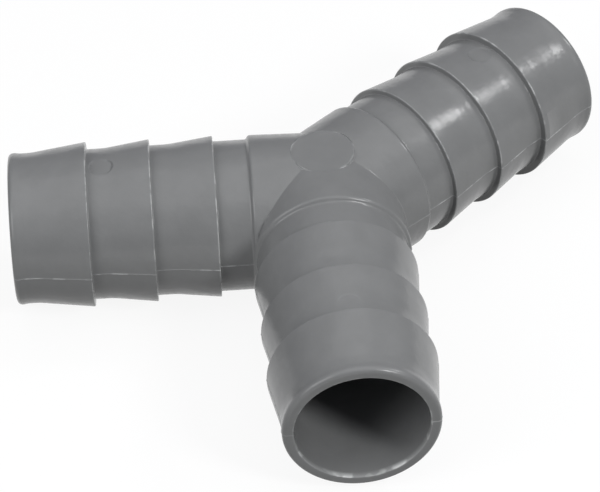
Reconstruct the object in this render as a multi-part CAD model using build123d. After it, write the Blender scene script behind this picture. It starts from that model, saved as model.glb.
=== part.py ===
"""Y connector for 25 mm tubing: three barbed hose tails on a mitred hub, moulded in one piece.

The axes of the three tails lie in the XY plane and cross at the origin. The stem runs out along +X and
the two branches leave at the angles below. All three tails have one profile, drawn in station (distance
from the origin along the tail's axis) and radius: hub, collar, neck, barbs, lead-in and lip.
"""

import os

from build123d import *

# ---- where the tails point, degrees from +X about +Z ----
STEM_ANGLE = 0.0
WIDE_ANGLE = 141.0
NEAR_ANGLE = -126.5

# ---- along a tail, mm ----
HUB_LENGTH = 12.2
NECK_LENGTH = 6.0
BARB_COUNT = 3
BARB_PITCH = 10.7
BARB_RAMP = 7.6
LEAD_IN_LENGTH = 4.0
LIP_WIDTH = 1.5

# ---- across a tail, mm ----
TAIL_R = 12.7
WALL = 1.8
WAIST_RISE = 0.4
COLLAR_RISE = 0.7
INNER_BARB_RISE = 0.85
TIP_BARB_RISE = 1.25
LIP_RISE = 0.12

# ---- eased edges, mm ----
COLLAR_EASE = 0.5
LIP_EASE = 0.5
MOUTH_EASE = 0.35

# ---- ejector pin marks on the top, mm ----
HUB_PIN_R = 5.35
HUB_PIN_SINK = 0.1
TAIL_PIN_R = 2.0
TAIL_PIN_SETBACK = 2.5

# ---- worked out from the sizes above ----
BORE_R = TAIL_R - WALL
WAIST_R = TAIL_R + WAIST_RISE
COLLAR_R = TAIL_R + COLLAR_RISE
LIP_R = TAIL_R + LIP_RISE
INNER_CREST = HUB_LENGTH + NECK_LENGTH
TIP_CREST = INNER_CREST + (BARB_COUNT - 1) * BARB_PITCH
LIP_START = TIP_CREST + BARB_RAMP + LEAD_IN_LENGTH
TAIL_LENGTH = LIP_START + LIP_WIDTH
LIP_SHOULDER = LIP_RISE


def barbs():
    """The station and crest radius of each barb, from the hub outwards."""
    for index in range(BARB_COUNT):
        station = INNER_CREST + index * BARB_PITCH
        outermost = index == BARB_COUNT - 1
        rise = TIP_BARB_RISE if outermost else INNER_BARB_RISE
        yield station, TAIL_R + rise


def corner(section, station, radius):
    """The half section's vertex at a station and radius."""
    return section.vertices().sort_by_distance((station, 0, radius))[0]


def tail_section():
    """Half section of one solid tail in the XZ plane, from its axis out to its skin."""
    outline = [(0, 0), (0, WAIST_R), (HUB_LENGTH, COLLAR_R), (HUB_LENGTH, TAIL_R)]
    for crest, crest_r in barbs():
        outline += [(crest, TAIL_R), (crest, crest_r), (crest + BARB_RAMP, TAIL_R)]
    outline += [(LIP_START, TAIL_R), (LIP_START + LIP_SHOULDER, LIP_R)]
    outline += [(TAIL_LENGTH, LIP_R), (TAIL_LENGTH, 0)]
    section = make_face(Plane.XZ * Polyline(*outline, close=True))

    section = chamfer(corner(section, HUB_LENGTH, COLLAR_R), COLLAR_EASE)
    return chamfer(corner(section, TAIL_LENGTH, LIP_R), LIP_EASE)


def solid_tail():
    """One tail along +X, not yet bored."""
    return revolve(tail_section(), Axis.X)


def bore_core():
    """The core that leaves one tail's bore and its eased mouth, from the origin outwards."""
    mouth_start = TAIL_LENGTH - MOUTH_EASE
    outline = [(0, 0), (0, BORE_R), (mouth_start, BORE_R), (TAIL_LENGTH, BORE_R + MOUTH_EASE)]
    outline += [(TAIL_LENGTH, 0)]
    return revolve(make_face(Plane.XZ * Polyline(*outline, close=True)), Axis.X)


def pin_mark(body, station, radius, level):
    """The flat that a round ejector pin leaves on top: proud of falling walls, sunk in rising ones."""
    upright = (Align.CENTER, Align.CENTER, Align.MIN)
    pad = Pos(station, 0, 0) * Cylinder(radius, level, align=upright)
    relief = Pos(station, 0, level) * Cylinder(radius, COLLAR_R, align=upright)
    return body + pad - relief


def y_connector():
    """The whole fitting: three tails and their pin marks, then the three cores drawn out."""
    angles = (STEM_ANGLE, WIDE_ANGLE, NEAR_ANGLE)
    tail = pin_mark(solid_tail(), TIP_CREST - TAIL_PIN_SETBACK, TAIL_PIN_R, TAIL_R)
    tails = [Rot(0, 0, angle) * tail for angle in angles]
    cores = [Rot(0, 0, angle) * bore_core() for angle in angles]
    body = pin_mark(tails[0] + tails[1:], 0, HUB_PIN_R, WAIST_R - HUB_PIN_SINK)
    return body - cores


os.makedirs("parts", exist_ok=True)
export_step(y_connector(), "parts/y_connector.step")
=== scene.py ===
"""Looks for a 25 mm tubing Y connector: one injection-moulded piece of grey polypropylene."""

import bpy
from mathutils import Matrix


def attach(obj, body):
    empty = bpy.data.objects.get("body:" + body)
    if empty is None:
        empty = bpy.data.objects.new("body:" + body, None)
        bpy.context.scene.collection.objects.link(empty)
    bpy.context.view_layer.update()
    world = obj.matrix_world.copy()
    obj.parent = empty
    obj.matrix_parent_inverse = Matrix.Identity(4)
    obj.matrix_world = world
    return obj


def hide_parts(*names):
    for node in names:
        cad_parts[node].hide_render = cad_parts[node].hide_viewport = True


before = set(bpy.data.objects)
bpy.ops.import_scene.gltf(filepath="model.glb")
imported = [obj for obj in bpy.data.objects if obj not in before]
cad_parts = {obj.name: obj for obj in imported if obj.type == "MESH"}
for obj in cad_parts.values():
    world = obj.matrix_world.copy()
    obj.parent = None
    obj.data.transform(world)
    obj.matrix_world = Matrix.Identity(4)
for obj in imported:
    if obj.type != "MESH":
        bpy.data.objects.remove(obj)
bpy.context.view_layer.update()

import bpy
import numpy as np

# ---- The moulded fitting ----
# Three barbed hose tails leave a mitred hub. It is one piece of polypropylene, moulded in two halves that
# part at mid height, with loose cores for the bores and round ejector pins pushing on its top.

# Where each tail points, in degrees from +X. Every length is in mm.
STEM, WIDE, NEAR = 0.0, 141.0, -126.5
MM = 0.001
HUB_LENGTH, NECK_LENGTH = 12.2, 6.0
BARB_PITCH = 10.7
BARB_RISES, BARB_RAMPS, RAMP_FEET = (0.95, 1.05, 1.25), (7.6, 7.6, 9.4), (1.0, 1.0, 0.7)
TIP_TO_LIP, LIP_WIDTH = 11.6, 1.5
TAIL_R, WALL = 12.7, 1.8
WAIST_RISE, COLLAR_RISE, LIP_RISE = 0.4, 0.7, 0.12
HUB_PIN_R, HUB_PIN_SINK = 5.35, 0.1
TAIL_PIN_R, TAIL_PIN_SETBACK, TAIL_PIN_SINK = 2.0, 2.5, 0.15
PIN_EDGE = 0.1
# The flash is the thin ridge along the parting line, which rises to its height as it leaves the mitre. The
# vent is a thin pad just outside the stem's outermost crest, from the parting line upwards.
FLASH_RISE, FLASH_WIDTH, FLASH_FADE = 0.07, 0.1, 0.6
VENT_WIDTH, VENT_HEIGHT, VENT_RISE, VENT_EDGE = 1.1, 4.6, 0.05, 0.09

# How far each corner of the outline is eased, and how far the outline runs back into the bore.
COLLAR_ROUND, COLLAR_SLOPE, COLLAR_FOOT = 0.38, 0.35, 0.3
CREST_ROUND, FOOT_ROUND = 0.2, 0.15
LIP_SLOPE, LIP_FOOT, LIP_SHOULDER = 0.4, 0.35, 0.15
LIP_ROUND, MOUTH_ROUND, MOUTH_RUN = 0.8, 0.28, 4

# How strongly a place is painted pale, where 1 is fully, and how far from its edge that fades out. The pale
# paint is a painted highlight standing for the glints on these edges, as well as rubbing wear.
CREST_PALE_REACH, MOUTH_PALE_REACH = 0.15, 0.2
MOUTH_PALE, FLASH_PALE, PIN_RIM_PALE = 1.6, 0.8, 0.4
# The near tail's small pin mark is shallower and its crests get less of the painted highlight: shares of the
# others'.
NEAR_PIN_SHARE, NEAR_PALE_SHARE = 0.25, 0.3
# The bores' cores are turned finer than the outside: a share of its tool marks.
BORE_MARKS = 0.7

BORE_R = TAIL_R - WALL
WAIST_R, COLLAR_R, LIP_R = TAIL_R + WAIST_RISE, TAIL_R + COLLAR_RISE, TAIL_R + LIP_RISE
FIRST_CREST = HUB_LENGTH + NECK_LENGTH
TIP_CREST = FIRST_CREST + 2 * BARB_PITCH
LIP_START = TIP_CREST + TIP_TO_LIP
TAIL_LENGTH = LIP_START + LIP_WIDTH
HUB_PIN_TOP, HUB_PIN_REACH = WAIST_R - HUB_PIN_SINK, HUB_PIN_R + PIN_EDGE / 2
TAIL_PIN_TOP, TAIL_PIN_AT = TAIL_R - TAIL_PIN_SINK, TIP_CREST - TAIL_PIN_SETBACK


def eased(corners, steps=6, hold=0.1):
    """A line through corners (station, radius, setback), each corner replaced by the circular arc that
    touches both of its sides at the setback from it. A straight run gets a point at the hold from each
    end, which keeps the arcs' shading off it, and one half way."""
    at = np.array([c[:2] for c in corners])
    back = np.array([c[2] for c in corners])
    line = [at[:1]]
    for here in range(1, len(at) - 1):
        to_last, to_next = at[here - 1] - at[here], at[here + 1] - at[here]
        to_last, to_next = to_last / np.hypot(*to_last), to_next / np.hypot(*to_next)
        inward = (to_last + to_next) / np.hypot(*(to_last + to_next))
        half_turn = np.pi / 2 - np.arccos(np.clip(inward @ to_next, -1, 1))
        rounding = back[here] / np.tan(half_turn)
        centre = at[here] + inward * np.hypot(rounding, back[here])
        across = (to_next - to_last) / np.hypot(*(to_next - to_last))
        sweep = np.linspace(-half_turn, half_turn, steps)[:, None]
        line.append(centre + rounding * (np.sin(sweep) * across - np.cos(sweep) * inward))
    line.append(at[-1:])
    held = [line[0]]
    for run in line[1:]:
        start, end = held[-1][-1], run[0]
        length = np.hypot(*(end - start))
        if length > 4 * hold:
            share = np.array([hold, length / 2, length - hold]) / length
            held.append(start + share[:, None] * (end - start))
        held.append(run)
    return np.concatenate(held)


def tail_profile():
    """Station and radius along the outside of a tail, from the hub's centre over the collar, barbs and
    lip, round the end face and a little way back down the bore."""
    corners = [(0, WAIST_R, 0), (HUB_LENGTH, COLLAR_R, COLLAR_ROUND)]
    corners += [(HUB_LENGTH + COLLAR_SLOPE, TAIL_R, COLLAR_FOOT)]
    for index, (rise, ramp, foot) in enumerate(zip(BARB_RISES, BARB_RAMPS, RAMP_FEET)):
        crest = FIRST_CREST + index * BARB_PITCH
        corners += [(crest, TAIL_R, FOOT_ROUND), (crest, TAIL_R + rise, CREST_ROUND)]
        corners += [(crest + ramp, TAIL_R, foot)]
    corners += [(LIP_START - LIP_SLOPE, TAIL_R, LIP_FOOT), (LIP_START + LIP_SLOPE, LIP_R, LIP_SHOULDER)]
    corners += [(TAIL_LENGTH, LIP_R, LIP_ROUND), (TAIL_LENGTH, BORE_R, MOUTH_ROUND)]
    corners += [(TAIL_LENGTH - MOUTH_RUN, BORE_R, 0)]
    return eased(corners)


def first_crossing(above, along):
    """Where each column of a table that rises from below nought first passes nought, by straight lines."""
    row = np.clip(np.argmax(above >= 0, axis=0), 1, len(along) - 1)
    column = np.arange(above.shape[1])
    low, high = above[row - 1, column], above[row, column]
    share = np.clip(-low / np.where(high == low, 1, high - low), 0, 1)
    return along[row - 1] + share * (along[row] - along[row - 1])


def smooth(x):
    """Nought below 0, one above 1, and between them 6 x^5 - 15 x^4 + 10 x^3, which is level at both ends."""
    x = np.clip(x, 0, 1)
    return x * x * x * (x * (6 * x - 15) + 10)


def bell(station, radius, at, out, reach):
    """One at the place (at, out) on the outline, and exp(-(distance / reach)^2) away from it."""
    return np.exp(-((station - at) ** 2 + (radius - out) ** 2) / reach**2)


def rim_angle(half):
    """Angle round a tail at which the hub's pin mark meets the mitre that stands half degrees from it."""
    along, aside = HUB_PIN_REACH * np.cos(np.radians(half)), HUB_PIN_REACH * np.sin(np.radians(half))
    return np.arcsin(aside / (WAIST_R + along * (COLLAR_R - WAIST_R) / HUB_LENGTH))


def columns(halves):
    """Angles round a tail from its top, in radians, the same on both sides so that neighbours meet point
    to point. They are 3.1 degrees apart, and closer at the top for the pin mark, at the sides for the
    parting line, and at the vent's edge. One runs to each point where a mitre meets the hub's pin mark."""
    even = np.radians(np.arange(12, 180, 3.1))
    top = np.linspace(0, (TAIL_PIN_R + 0.5) / TAIL_R, 18)
    side = np.pi / 2 + np.array([-0.3, -0.15, -0.1, -0.05, 0, 0.05, 0.1, 0.15, 0.3]) / TAIL_R
    vent = np.pi / 2 - (VENT_HEIGHT + np.array([-VENT_EDGE, 0, VENT_EDGE])) / TAIL_R
    rim = rim_angle(np.array(halves))
    # Even angles that would crowd one of the others are left out.
    clear = (np.abs(even - vent[1]) > 0.02) & (np.abs(even - np.pi / 2) > 0.4 / TAIL_R)
    clear &= np.abs(even[:, None] - rim).min(1) > 0.008
    half = np.unique(np.concatenate([top, even[clear], side, vent, rim, [np.pi]]))
    return np.concatenate([-half[::-1], half[1:]])


def tail_skin(heading, left_half, right_half, around):
    """One tail as a grid of angle round it by place along its outline. Every line starts where the tail
    meets its neighbour, in the upright plane that halves the angle between them, or at the hub's pin
    mark. It runs out over the barbs, round the lip and back down the bore to the same plane. Its radius
    is the outline's, drawn to a level flat over the small pin mark, plus the parting line and the vent."""
    outline = tail_profile()
    length = np.concatenate([[0], np.cumsum(np.hypot(*np.diff(outline, axis=0).T))])
    collar_from = HUB_LENGTH - COLLAR_ROUND - 0.1
    dense = np.unique(np.concatenate([np.linspace(0, collar_from, 400), length[length < HUB_LENGTH + 3]]))
    s = np.interp(dense, length, outline[:, 0])[:, None]
    r = np.interp(dense, length, outline[:, 1])[:, None]
    half = np.radians(np.where(around > 0, left_half, right_half))
    aside = np.abs(np.sin(around))
    mitre = first_crossing(s * np.tan(half) - r * aside, dense)
    rim = first_crossing(s * s + (r * aside) ** 2 - HUB_PIN_REACH * HUB_PIN_REACH, dense)
    on_rim = (np.cos(around) > 0) & (aside <= np.sin(rim_angle(np.degrees(half))) + 1e-9)
    start = np.where(on_rim, rim, mitre)

    # Places along the outline: shares of the hub, then the outline's own points, with more of them at the
    # small pin mark and the vent. The hair added to the stations keeps them in order on upright faces.
    hub_shares = np.array([0, 0.03, 0.08, 0.17, 0.3, 0.47, 0.65, 0.83, 1.0])
    hub = start + hub_shares[:, None] * np.maximum(collar_from - start, 0)
    pin = TAIL_PIN_AT + np.arange(-2.24, 2.25, 0.14)
    vent = TIP_CREST + VENT_WIDTH + np.array([-VENT_EDGE, 0, VENT_EDGE])
    in_order = outline[:, 0] + 1e-9 * np.arange(len(outline))
    extra = np.interp(np.concatenate([pin, vent]), in_order, length)
    rows = length[(length > collar_from) & (length < length[-1] - (MOUTH_RUN - 0.1))]
    rows = np.unique(np.round(np.concatenate([rows, extra]), 5))
    place = np.concatenate([hub, np.maximum(rows[:, None], start)])
    station = np.interp(place, length, outline[:, 0])
    radius = np.interp(place, length, outline[:, 1])

    # What the tool leaves standing proud or sunk.
    apart = np.hypot(station - TAIL_PIN_AT, radius * aside)
    pressed = 1 - smooth((apart - TAIL_PIN_R) / PIN_EDGE + 0.5)
    pressed = np.where(np.cos(around) > 0, pressed, 0) * (NEAR_PIN_SHARE if heading == NEAR else 1.0)
    radius = radius + pressed * (TAIL_PIN_TOP / np.maximum(np.cos(around), 0.5) - radius)
    off_part = np.abs(np.abs(around) - np.pi / 2) * TAIL_R
    part = np.exp(-((off_part / FLASH_WIDTH) ** 2)) * smooth((place - start) / FLASH_FADE)
    radius = radius + FLASH_RISE * part * (station < TAIL_LENGTH - LIP_ROUND - 0.1)
    past_crest, above_part = station - TIP_CREST, (around + np.pi / 2) * TAIL_R
    vented = (past_crest > 0.1) & (past_crest < VENT_WIDTH + 0.01)
    vented = vented & (above_part > 0) & (above_part < VENT_HEIGHT + 0.01)
    radius = radius + VENT_RISE * vented * (heading == STEM)

    # Where it is painted pale: at the crests, at the bore's mouth and along the parting line. This is a
    # painted highlight for the glints on these edges, as well as rubbing wear.
    sharp = [(FIRST_CREST + index * BARB_PITCH, TAIL_R + rise) for index, rise in enumerate(BARB_RISES)]
    crests = sum(bell(station, radius, at, out, CREST_PALE_REACH) for at, out in sharp)
    mouth = MOUTH_PALE * bell(station, radius, TAIL_LENGTH, BORE_R, MOUTH_PALE_REACH)
    wear_and_glint_paint = (NEAR_PALE_SHARE if heading == NEAR else 1.0) * crests + mouth + FLASH_PALE * part
    wear_and_glint_paint = np.clip(wear_and_glint_paint, 0, 1)

    # Back down the bore from the last place, at shares of the way to the mitre.
    bore_start = BORE_R * aside / np.tan(half)
    inwards = 1 - np.array([0.02, 0.06, 0.15, 0.3, 0.45, 0.6, 0.75, 0.88, 0.95, 0.985, 1])
    bore_mouth = station[-1]
    bore = bore_start + inwards[:, None] * (bore_mouth - bore_start)
    station = np.concatenate([station, bore])
    radius = np.concatenate([radius, np.full_like(bore, BORE_R)])
    travel = np.concatenate([place, place[-1] + (bore_mouth - bore)])

    turn = np.radians(heading)
    lateral = radius * np.sin(around)
    x = station * np.cos(turn) - lateral * np.sin(turn)
    y = station * np.sin(turn) + lateral * np.cos(turn)
    z = radius * np.cos(around)
    girth = np.broadcast_to(around * TAIL_R, travel.shape)
    marks = np.concatenate([1 - pressed, np.full_like(bore, BORE_MARKS)])
    wear_and_glint_paint = np.concatenate([wear_and_glint_paint, np.zeros_like(bore)])
    return np.stack([x, y, z], -1), np.stack([travel, girth], -1), np.stack([marks, wear_and_glint_paint], -1), on_rim


def pin_disc(rim):
    """The round flat that the hub's ejector pin leaves: rings from the middle out to the hub's skin. Its
    edge goes from the pin's level to the skin's along a curve that is level at both ends."""
    angle = np.arctan2(rim[:, 1], rim[:, 0])
    order = np.unique(np.round(angle, 7), return_index=True)[1]
    rim = rim[order]
    reach = np.hypot(rim[0, 0], rim[0, 1])
    across = np.linspace(0, 1, 9)
    ring = np.concatenate([[0.0, 0.35, 0.7, 0.93], (reach - PIN_EDGE * (1 - across)) / reach])
    climb = np.concatenate([[0, 0, 0, 0], smooth(across)])[:, None]
    spot = ring[:, None, None] * rim[None, :, :2]
    level = HUB_PIN_TOP + climb * (rim[None, :, 2] - HUB_PIN_TOP)
    grid = np.concatenate([spot, level[..., None]], -1)
    return np.concatenate([grid, grid[:, :1]], 1)


def quads(rows, cols, first):
    """Corner numbers of the faces of a grid whose points are numbered row by row from first."""
    corner = first + np.arange(rows - 1)[:, None] * cols + np.arange(cols - 1)
    return np.stack([corner, corner + cols, corner + cols + 1, corner + 1], -1).reshape(-1, 4)


def moulded_fitting():
    """All three tails and the pin mark as one skin. Points that agree to 0.0001 mm are made one, and
    faces that this leaves with three corners are kept as triangles."""
    to_next = ((WIDE - STEM) / 2, (NEAR + 360 - WIDE) / 2, (STEM - NEAR) / 2)
    around = columns(to_next)
    points, flats, marks, faces, rims = [], [], [], [], []
    count = 0
    for heading, left, right in zip((STEM, WIDE, NEAR), to_next, np.roll(to_next, 1)):
        grid, flat, mark, on_rim = tail_skin(heading, left, right, around)
        faces.append(quads(*grid.shape[:2], count))
        count += grid[..., 0].size
        points.append(grid.reshape(-1, 3))
        flats.append(flat.reshape(-1, 2))
        marks.append(mark.reshape(-1, 2))
        rims.append(grid[0, on_rim])
    disc = pin_disc(np.concatenate(rims))
    faces.append(quads(*disc.shape[:2], count))
    points.append(disc.reshape(-1, 3))
    flats.append(disc.reshape(-1, 3)[:, :2])
    # The rim of the hub's pin mark is painted pale too: a painted highlight, as well as rubbing wear.
    on_edge = np.clip(np.hypot(disc[..., 0], disc[..., 1]) - HUB_PIN_R + PIN_EDGE, 0, PIN_EDGE) / PIN_EDGE
    marks.append(np.stack([np.zeros_like(on_edge), PIN_RIM_PALE * on_edge], -1).reshape(-1, 2))
    points, flats, marks = np.concatenate(points), np.concatenate(flats), np.concatenate(marks)
    faces = np.concatenate(faces)

    _, first, same = np.unique(np.round(points, 4), axis=0, return_index=True, return_inverse=True)
    joined = same.reshape(-1)[faces]
    kept = joined != np.roll(joined, -1, axis=1)
    corners = kept.sum(1)
    faces, joined, kept, corners = (table[corners > 2] for table in (faces, joined, kept, corners))
    mesh = bpy.data.meshes.new("y_connector_skin")
    mesh.vertices.add(len(first))
    mesh.vertices.foreach_set("co", (points[first] * MM).astype(np.float32).reshape(-1))
    mesh.loops.add(int(kept.sum()))
    mesh.loops.foreach_set("vertex_index", joined[kept].astype(np.int32))
    mesh.polygons.add(len(faces))
    mesh.polygons.foreach_set("loop_start", np.concatenate([[0], np.cumsum(corners)[:-1]]).astype(np.int32))
    mesh.update(calc_edges=True)
    mesh.polygons.foreach_set("use_smooth", np.ones(len(faces), bool))
    uv = mesh.uv_layers.new(name="along_and_around_mm")
    uv.data.foreach_set("uv", flats[faces[kept]].astype(np.float32).reshape(-1))
    # The second attribute is the pale paint: a painted highlight on edges, as well as rubbing wear.
    for column, name in enumerate(("tool_marks", "wear_and_painted_glint")):
        painted = mesh.attributes.new(name, "FLOAT", "POINT")
        painted.data.foreach_set("value", marks[first, column].astype(np.float32))
    mesh.validate()
    return mesh


fitting = bpy.data.objects.new("y_connector_moulding", moulded_fitting())
bpy.context.scene.collection.objects.link(fitting)


def linear(hex_colour):
    """An sRGB hex colour as the linear one that the shaders use."""
    value = np.array([int(hex_colour[i : i + 2], 16) for i in (1, 3, 5)]) / 255
    value = np.where(value <= 0.04045, value / 12.92, ((value + 0.055) / 1.055) ** 2.4)
    return (*value, 1.0)


def node(tree, kind, links=(), **settings):
    """Adds a node, sets its properties or sockets by name, and links (output, input) pairs into it."""
    made = tree.nodes.new(kind)
    for name, value in settings.items():
        if hasattr(made, name):
            setattr(made, name, value)
        else:
            made.inputs[name].default_value = value
    for output, socket in links:
        tree.links.new(output, made.inputs[socket])
    return made


# Polypropylene, injection moulded in a turned steel tool and coloured grey in the mass. It is satin, and
# fine rings left by the tool's turning run round each tail and break up its highlights.
plastic = bpy.data.materials.new("moulded_grey_polypropylene")
plastic.use_nodes = True
tree = plastic.node_tree
shader = tree.nodes["Principled BSDF"]
shader.inputs["IOR"].default_value = 1.49
shader.inputs["Specular IOR Level"].default_value = 0.4
surface = node(tree, "ShaderNodeUVMap", uv_map="along_and_around_mm").outputs["UV"]
space = node(tree, "ShaderNodeTexCoord").outputs["Object"]
turned = node(tree, "ShaderNodeAttribute", attribute_name="tool_marks").outputs["Fac"]

# Turning marks: rings 0.9 mm apart along the tail, coarser than real so that they show, each changing
# slowly over 9 mm round it.
rings_at = node(tree, "ShaderNodeMapping", [(surface, "Vector")], Scale=(1 / 0.9, 1 / 9, 1))
rings = node(tree, "ShaderNodeTexNoise", [(rings_at.outputs["Vector"], "Vector")], Scale=1.0, Detail=0.0)
# Flow and shrinkage: soft waves, 240 to the metre and so about 4 mm across.
waves = node(tree, "ShaderNodeTexNoise", [(space, "Vector")], Scale=240.0, Detail=3.0)
# The tool's own fine texture, 4000 to the metre and so 0.25 mm across, as fine as the render shows.
grain = node(tree, "ShaderNodeTexNoise", [(space, "Vector")], Scale=4000.0, Detail=1.0)

# The rings stand 0.006 mm high, except on the pin marks, over waves of 0.14 mm and a grain of 0.003 mm.
ring_height = node(
    tree, "ShaderNodeMath", [(rings.outputs["Fac"], 0), (turned, 1)], operation="MULTIPLY"
).outputs[0]
ring_bump = node(tree, "ShaderNodeBump", [(ring_height, "Height")], Strength=1.0, Distance=0.006 * MM)
wave_bump = node(
    tree,
    "ShaderNodeBump",
    [(waves.outputs["Fac"], "Height"), (ring_bump.outputs[0], "Normal")],
    Strength=1.0,
    Distance=0.14 * MM,
)
grain_bump = node(
    tree,
    "ShaderNodeBump",
    [(grain.outputs["Fac"], "Height"), (wave_bump.outputs[0], "Normal")],
    Strength=1.0,
    Distance=0.003 * MM,
)
tree.links.new(grain_bump.outputs[0], shader.inputs["Normal"])

# The grey varies a little where the melt cooled unevenly.
shade = node(tree, "ShaderNodeValToRGB", [(waves.outputs["Fac"], "Fac")])
dark_grey, light_grey = shade.color_ramp.elements
dark_grey.position, light_grey.position = 0.3, 0.7
dark_grey.color, light_grey.color = linear("#7b7c7c"), linear("#7f8080")
# Crests, bore mouths, the parting line and the rim of the hub's pin mark are painted paler in patches, 350 to
# the metre and so about 3 mm across: a painted highlight for the glints on these edges, as well as wear where
# handling and ejection rubbed them. Sockets 6 and 7 of the mix are its two colours.
wear_and_painted_glint = node(tree, "ShaderNodeAttribute", attribute_name="wear_and_painted_glint").outputs["Fac"]
patches = node(tree, "ShaderNodeTexNoise", [(space, "Vector")], Scale=350.0, Detail=2.0)
patchy = node(
    tree,
    "ShaderNodeMapRange",
    [(patches.outputs["Fac"], "Value")],
    **{"From Min": 0.48, "From Max": 0.6, "To Min": 0.22, "To Max": 1.0},
)
wear_and_glint_mix = node(
    tree, "ShaderNodeMath", [(wear_and_painted_glint, 0), (patchy.outputs["Result"], 1)], operation="MULTIPLY"
)
body = node(tree, "ShaderNodeMix", [(wear_and_glint_mix.outputs[0], "Factor")], data_type="RGBA", clamp_factor=True)
tree.links.new(shade.outputs["Color"], body.inputs[6])
body.inputs[7].default_value = linear("#cdcfce")
tree.links.new(body.outputs[2], shader.inputs["Base Color"])
# The tops of the rings are a little rougher than the grooves between them.
satin = node(
    tree,
    "ShaderNodeMapRange",
    [(ring_height, "Value")],
    **{"From Min": 0.3, "From Max": 0.7, "To Min": 0.22, "To Max": 0.27},
)
tree.links.new(satin.outputs["Result"], shader.inputs["Roughness"])
fitting.data.materials.append(plastic)

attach(fitting, "root")
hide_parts("y_connector")

# ---- Table, light and camera ----
# The fitting lies on a plain white table in a grey light tent. The main softbox stands to the right of the
# camera, a small one further round on the right, a wide one on the left and a wide one overhead.

TABLE_HALF, TABLE_TOP = 3.0, -(TAIL_R + BARB_RISES[-1]) * MM
floor_mesh = bpy.data.meshes.new("table")
near_side = [(-TABLE_HALF, -TABLE_HALF, TABLE_TOP), (TABLE_HALF, -TABLE_HALF, TABLE_TOP)]
far_side = [(TABLE_HALF, TABLE_HALF, TABLE_TOP), (-TABLE_HALF, TABLE_HALF, TABLE_TOP)]
floor_mesh.from_pydata(near_side + far_side, [], [(0, 1, 2, 3)])
floor = bpy.data.objects.new("table", floor_mesh)
bpy.context.scene.collection.objects.link(floor)

# White paper. What the camera and reflections see is mostly the paper's own white, so that only a soft
# shadow shows on it; the light that it gives back to the object is dim and warm.
paper = bpy.data.materials.new("white_paper")
paper.use_nodes = True
tree = paper.node_tree
tree.nodes.remove(tree.nodes["Principled BSDF"])
ray = node(tree, "ShaderNodeLightPath").outputs
seen = node(
    tree, "ShaderNodeMath", [(ray["Is Camera Ray"], 0), (ray["Is Glossy Ray"], 1)], operation="MAXIMUM"
)
seen_through = node(
    tree, "ShaderNodeMath", [(seen.outputs[0], 0), (ray["Is Transmission Ray"], 1)], operation="MAXIMUM"
)
white = node(tree, "ShaderNodeEmission", Color=linear("#ffffff"), Strength=0.9)
lit = node(tree, "ShaderNodeBsdfDiffuse", Color=linear("#595959"))
bright = node(tree, "ShaderNodeAddShader", [(white.outputs[0], 0), (lit.outputs[0], 1)])
dim = node(tree, "ShaderNodeBsdfDiffuse", Color=linear("#35362e"))
paper_mix = node(
    tree,
    "ShaderNodeMixShader",
    [(seen_through.outputs[0], 0), (dim.outputs[0], 1), (bright.outputs[0], 2)],
)
tree.links.new(paper_mix.outputs[0], tree.nodes["Material Output"].inputs["Surface"])
floor.data.materials.append(paper)

world = bpy.data.worlds.new("light_tent")
bpy.context.scene.world = world
world.use_nodes = True
world.node_tree.nodes["Background"].inputs["Color"].default_value = linear("#76777d")
world.node_tree.nodes["Background"].inputs["Strength"].default_value = 1.0


def softbox(name, azimuth, elevation, half_angle, level, distance=700):
    """A round softbox that faces the origin from a direction in degrees. It spans half_angle to each side
    there, and lights a surface that faces it at the origin to that level: power = level x pi x distance^2."""
    lamp = bpy.data.lights.new(name, "AREA")
    lamp.shape = "DISK"
    lamp.size = 2 * distance * MM * np.tan(np.radians(half_angle))
    lamp.energy = level * np.pi * (distance * MM) ** 2
    turn, rise = np.radians(azimuth), np.radians(elevation)
    back = np.array([np.cos(rise) * np.cos(turn), np.cos(rise) * np.sin(turn), np.sin(rise)])
    box = bpy.data.objects.new(name, lamp)
    bpy.context.scene.collection.objects.link(box)
    box.location = back * distance * MM
    box.rotation_euler = (np.pi / 2 - rise, 0, turn + np.pi / 2)


softbox("main_softbox", -83, 38, 7, 1.5)
softbox("right_softbox", -21.5, 41, 5, 0.6)
softbox("left_softbox", 169, 34, 20, 1.3)
softbox("top_softbox", 0, 88, 35, 1.1)

# A long lens 0.57 m away, which looks down at 42 degrees along the near tail.
camera = bpy.data.cameras.new("camera")
camera.lens, camera.sensor_width, camera.clip_start = 200.372, 36.0, 0.01
view = bpy.data.objects.new("camera", camera)
bpy.context.scene.collection.objects.link(view)
view.location = np.array([-284.326, -314.481, 375.415]) * MM
view.rotation_euler = np.radians([47.8446, 1.4396, -42.8394])
bpy.context.scene.camera = view
bpy.context.scene.view_settings.view_transform = "Standard"

bpy.context.view_layer.update()
